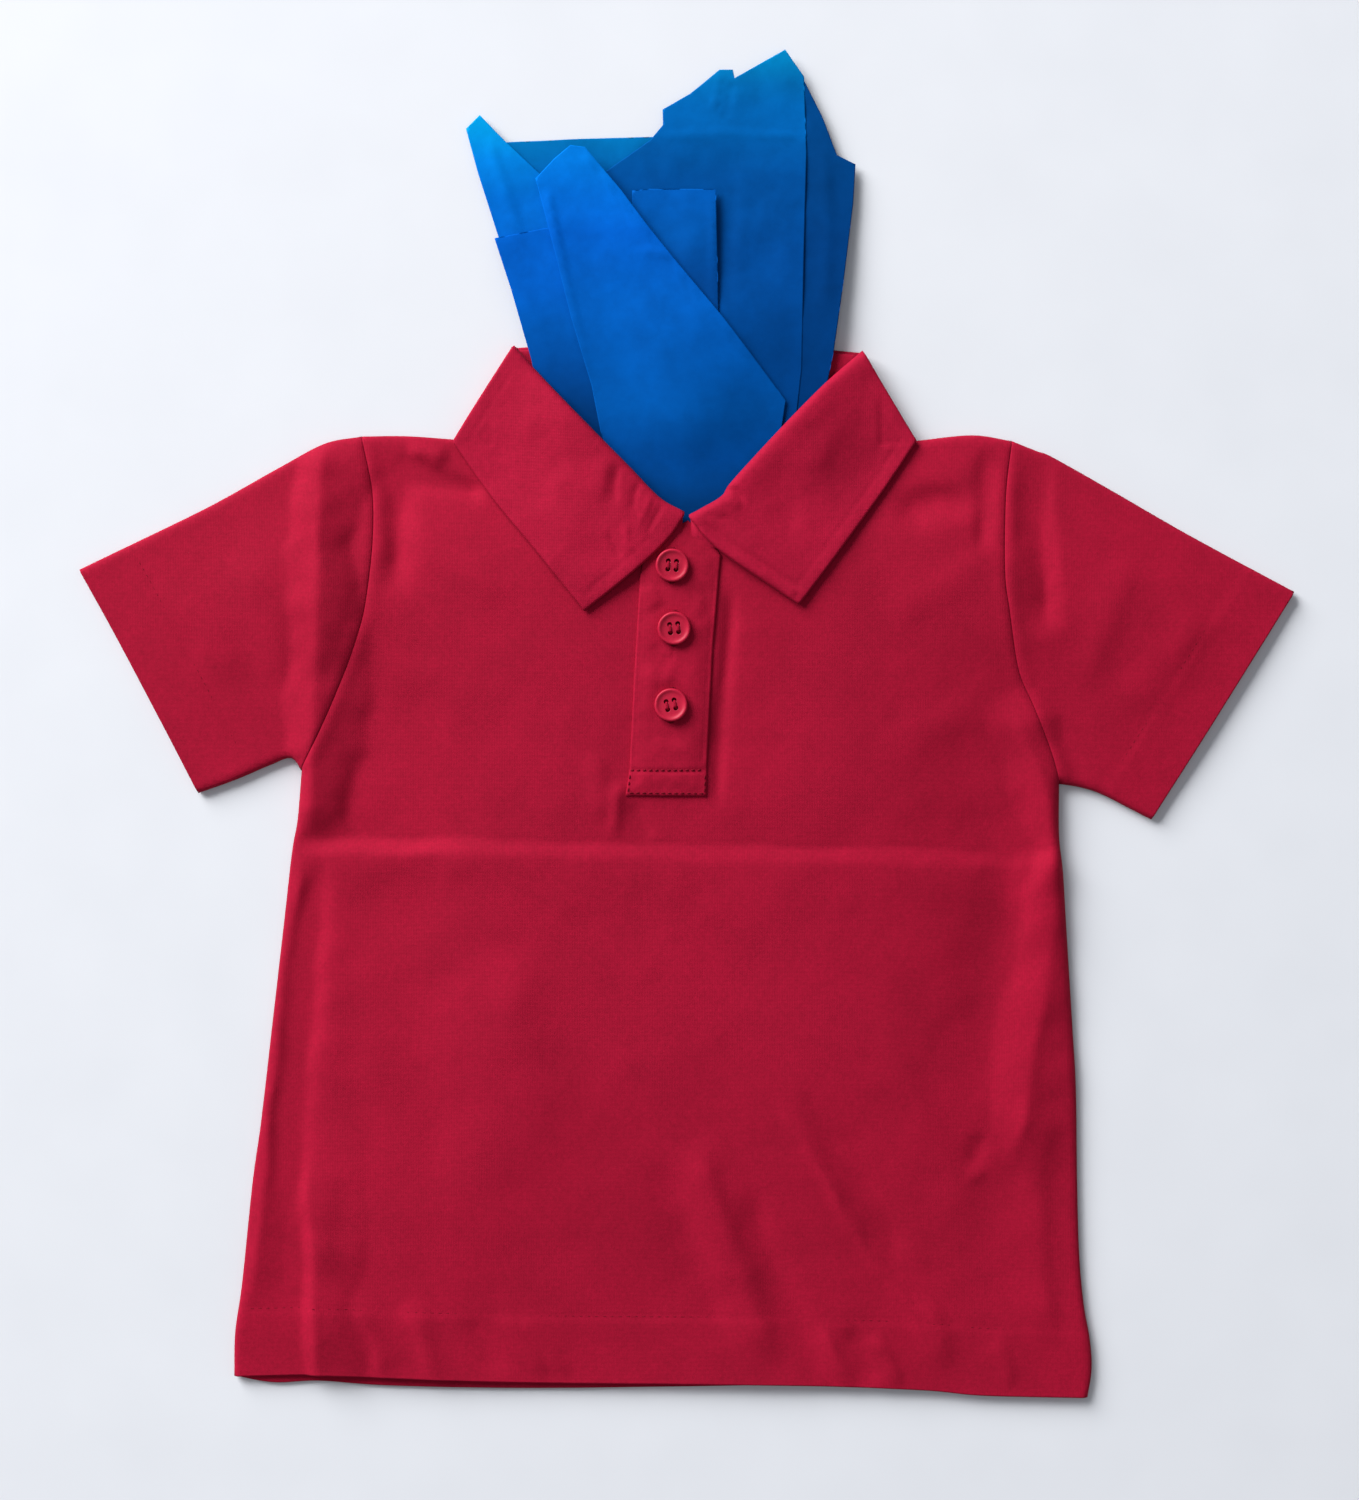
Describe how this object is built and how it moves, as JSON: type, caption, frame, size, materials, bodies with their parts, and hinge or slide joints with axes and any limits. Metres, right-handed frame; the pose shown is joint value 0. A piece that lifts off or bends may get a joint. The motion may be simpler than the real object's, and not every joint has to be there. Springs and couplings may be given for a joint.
{
  "type": "polo_shirt",
  "caption": "Toddler's red short-sleeved polo shirt, laid flat and front up, with a three-button placket and folded blue tissue paper standing in its neck",
  "frame": {"origin": "underside of the whole, under the middle of its bounding box; the table the shirt lies on is z = 0", "axes": "+Y from the hem to the collar, +Z from the back of the shirt to its front, +X toward the wearer's left sleeve"},
  "size_m": [0.404, 0.4484, 0.0123],
  "materials": {
    "red_jersey": "dyed cotton knit",
    "red_collar_cloth": "dyed cotton knit, interlined",
    "red_thread": "spun sewing thread",
    "red_button": "semi-gloss moulded resin",
    "blue_tissue": "thin creased tissue paper"
  },
  "bodies": {
    "torso": {"front_panel_upper": "red_jersey", "back_panel_upper": "red_jersey", "placket_under": "red_jersey", "placket_top": "red_jersey", "placket_box_stitches": "red_thread", "buttonhole_1": "red_thread", "buttonhole_2": "red_thread", "buttonhole_3": "red_thread", "side_seam_right_upper": "red_jersey", "side_seam_left_upper": "red_jersey", "shoulder_seam_right": "red_jersey", "shoulder_seam_left": "red_jersey", "armhole_seam_right": "red_jersey", "armhole_seam_left": "red_jersey", "collar_fall": "red_collar_cloth", "collar_stand": "red_collar_cloth", "neck_tape": "red_jersey"},
    "lower_body": {"front_panel_lower": "red_jersey", "back_panel_lower": "red_jersey", "side_seam_right_lower": "red_jersey", "side_seam_left_lower": "red_jersey", "hem_front": "red_jersey", "hem_back": "red_jersey", "hem_stitches": "red_thread"},
    "sleeve_right": {"sleeve_right": "red_jersey", "sleeve_hem_right": "red_jersey", "sleeve_hem_stitches_right": "red_thread"},
    "sleeve_left": {"sleeve_left": "red_jersey", "sleeve_hem_left": "red_jersey", "sleeve_hem_stitches_left": "red_thread"},
    "collar_right": {"collar_leaf_right": "red_collar_cloth"},
    "collar_left": {"collar_leaf_left": "red_collar_cloth"},
    "button_1": {"button_1": "red_button", "button_thread_1": "red_thread"},
    "button_2": {"button_2": "red_button", "button_thread_2": "red_thread"},
    "button_3": {"button_3": "red_button", "button_thread_3": "red_thread"},
    "tissue": {"tissue_back_sheet": "blue_tissue", "tissue_right_sheet": "blue_tissue", "tissue_left_sheet": "blue_tissue", "tissue_middle_fold": "blue_tissue", "tissue_front_fold": "blue_tissue"}
  },
  "joints": [
    {"name": "body_fold", "type": "hinge", "parent": "torso", "child": "lower_body", "pos_m": [-0.01, -0.0415, -0.006], "axis": [1, 0, 0], "range_deg": [0, 170]},
    {"name": "sleeve_right_fold", "type": "hinge", "parent": "torso", "child": "sleeve_right", "pos_m": [-0.1172, 0.0405, -0.0003], "axis": [-0.1864, -0.9825, 0], "range_deg": [0, 175]},
    {"name": "sleeve_left_fold", "type": "hinge", "parent": "torso", "child": "sleeve_left", "pos_m": [0.1155, 0.038, -0.0003], "axis": [-0.1426, 0.9898, 0], "range_deg": [0, 175]},
    {"name": "collar_right_turn", "type": "hinge", "parent": "torso", "child": "collar_right", "pos_m": [-0.0005, 0.0708, 0.0093], "axis": [-0.7165, 0.6976, 0], "range_deg": [0, 90]},
    {"name": "collar_left_turn", "type": "hinge", "parent": "torso", "child": "collar_left", "pos_m": [0.0007, 0.0688, 0.0093], "axis": [-0.7225, -0.6914, 0], "range_deg": [0, 90]},
    {"name": "button_1_turn", "type": "hinge", "parent": "torso", "child": "button_1", "pos_m": [-0.0047, 0.0525, 0.0096], "axis": [0, 0, 1], "range_deg": [-25, 25]},
    {"name": "button_2_turn", "type": "hinge", "parent": "torso", "child": "button_2", "pos_m": [-0.004, 0.0318, 0.0096], "axis": [0, 0, 1], "range_deg": [-25, 25]},
    {"name": "button_3_turn", "type": "hinge", "parent": "torso", "child": "button_3", "pos_m": [-0.005, 0.0065, 0.0096], "axis": [0, 0, 1], "range_deg": [-25, 25]},
    {"name": "tissue_slide", "type": "slide", "parent": "torso", "child": "tissue", "axis": [0, 1, 0], "range_m": [0, 0.11]}
  ]
}
